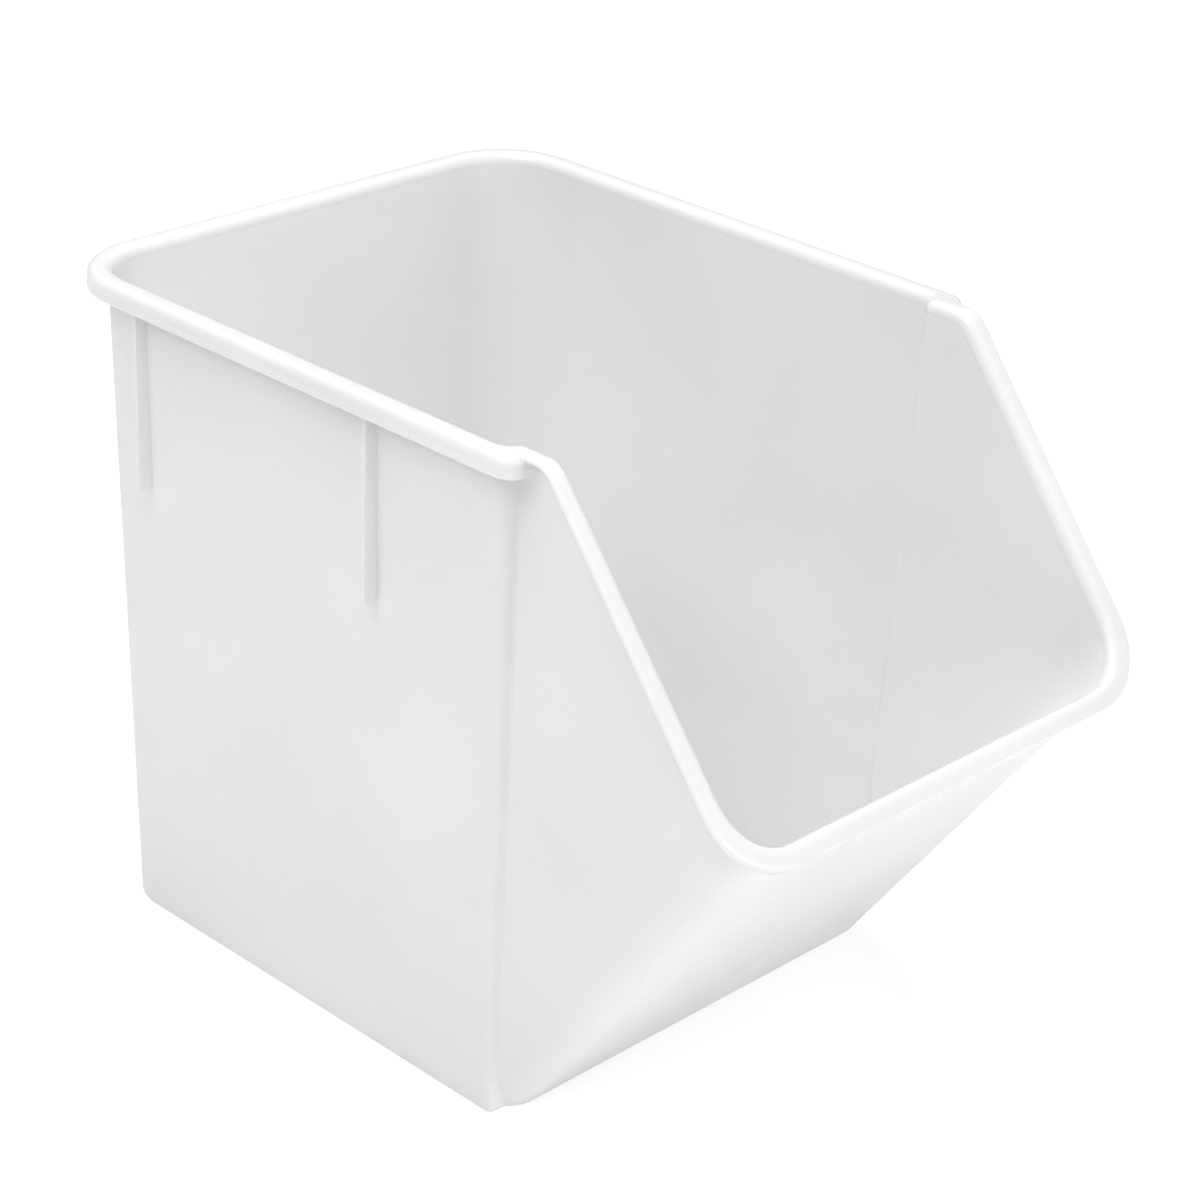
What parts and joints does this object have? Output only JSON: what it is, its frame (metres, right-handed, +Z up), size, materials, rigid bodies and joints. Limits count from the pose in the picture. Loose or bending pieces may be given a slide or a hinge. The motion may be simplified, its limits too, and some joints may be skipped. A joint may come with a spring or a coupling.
{
  "type": "ingredient bin",
  "caption": "Open-top moulded plastic bin: drafted box with a narrower sloping hopper front, turned-over rim, front lip and nesting ribs.",
  "frame": {"origin": "centre of the overall outline at the level of the base", "axes": "+Z up, -Y toward the hopper and its lip, X across"},
  "size_m": [0.353, 0.525, 0.4],
  "materials": {
    "plastic": "satin natural white, slightly translucent"
  },
  "bodies": {
    "root": {"bin": "plastic"}
  },
  "joints": []
}
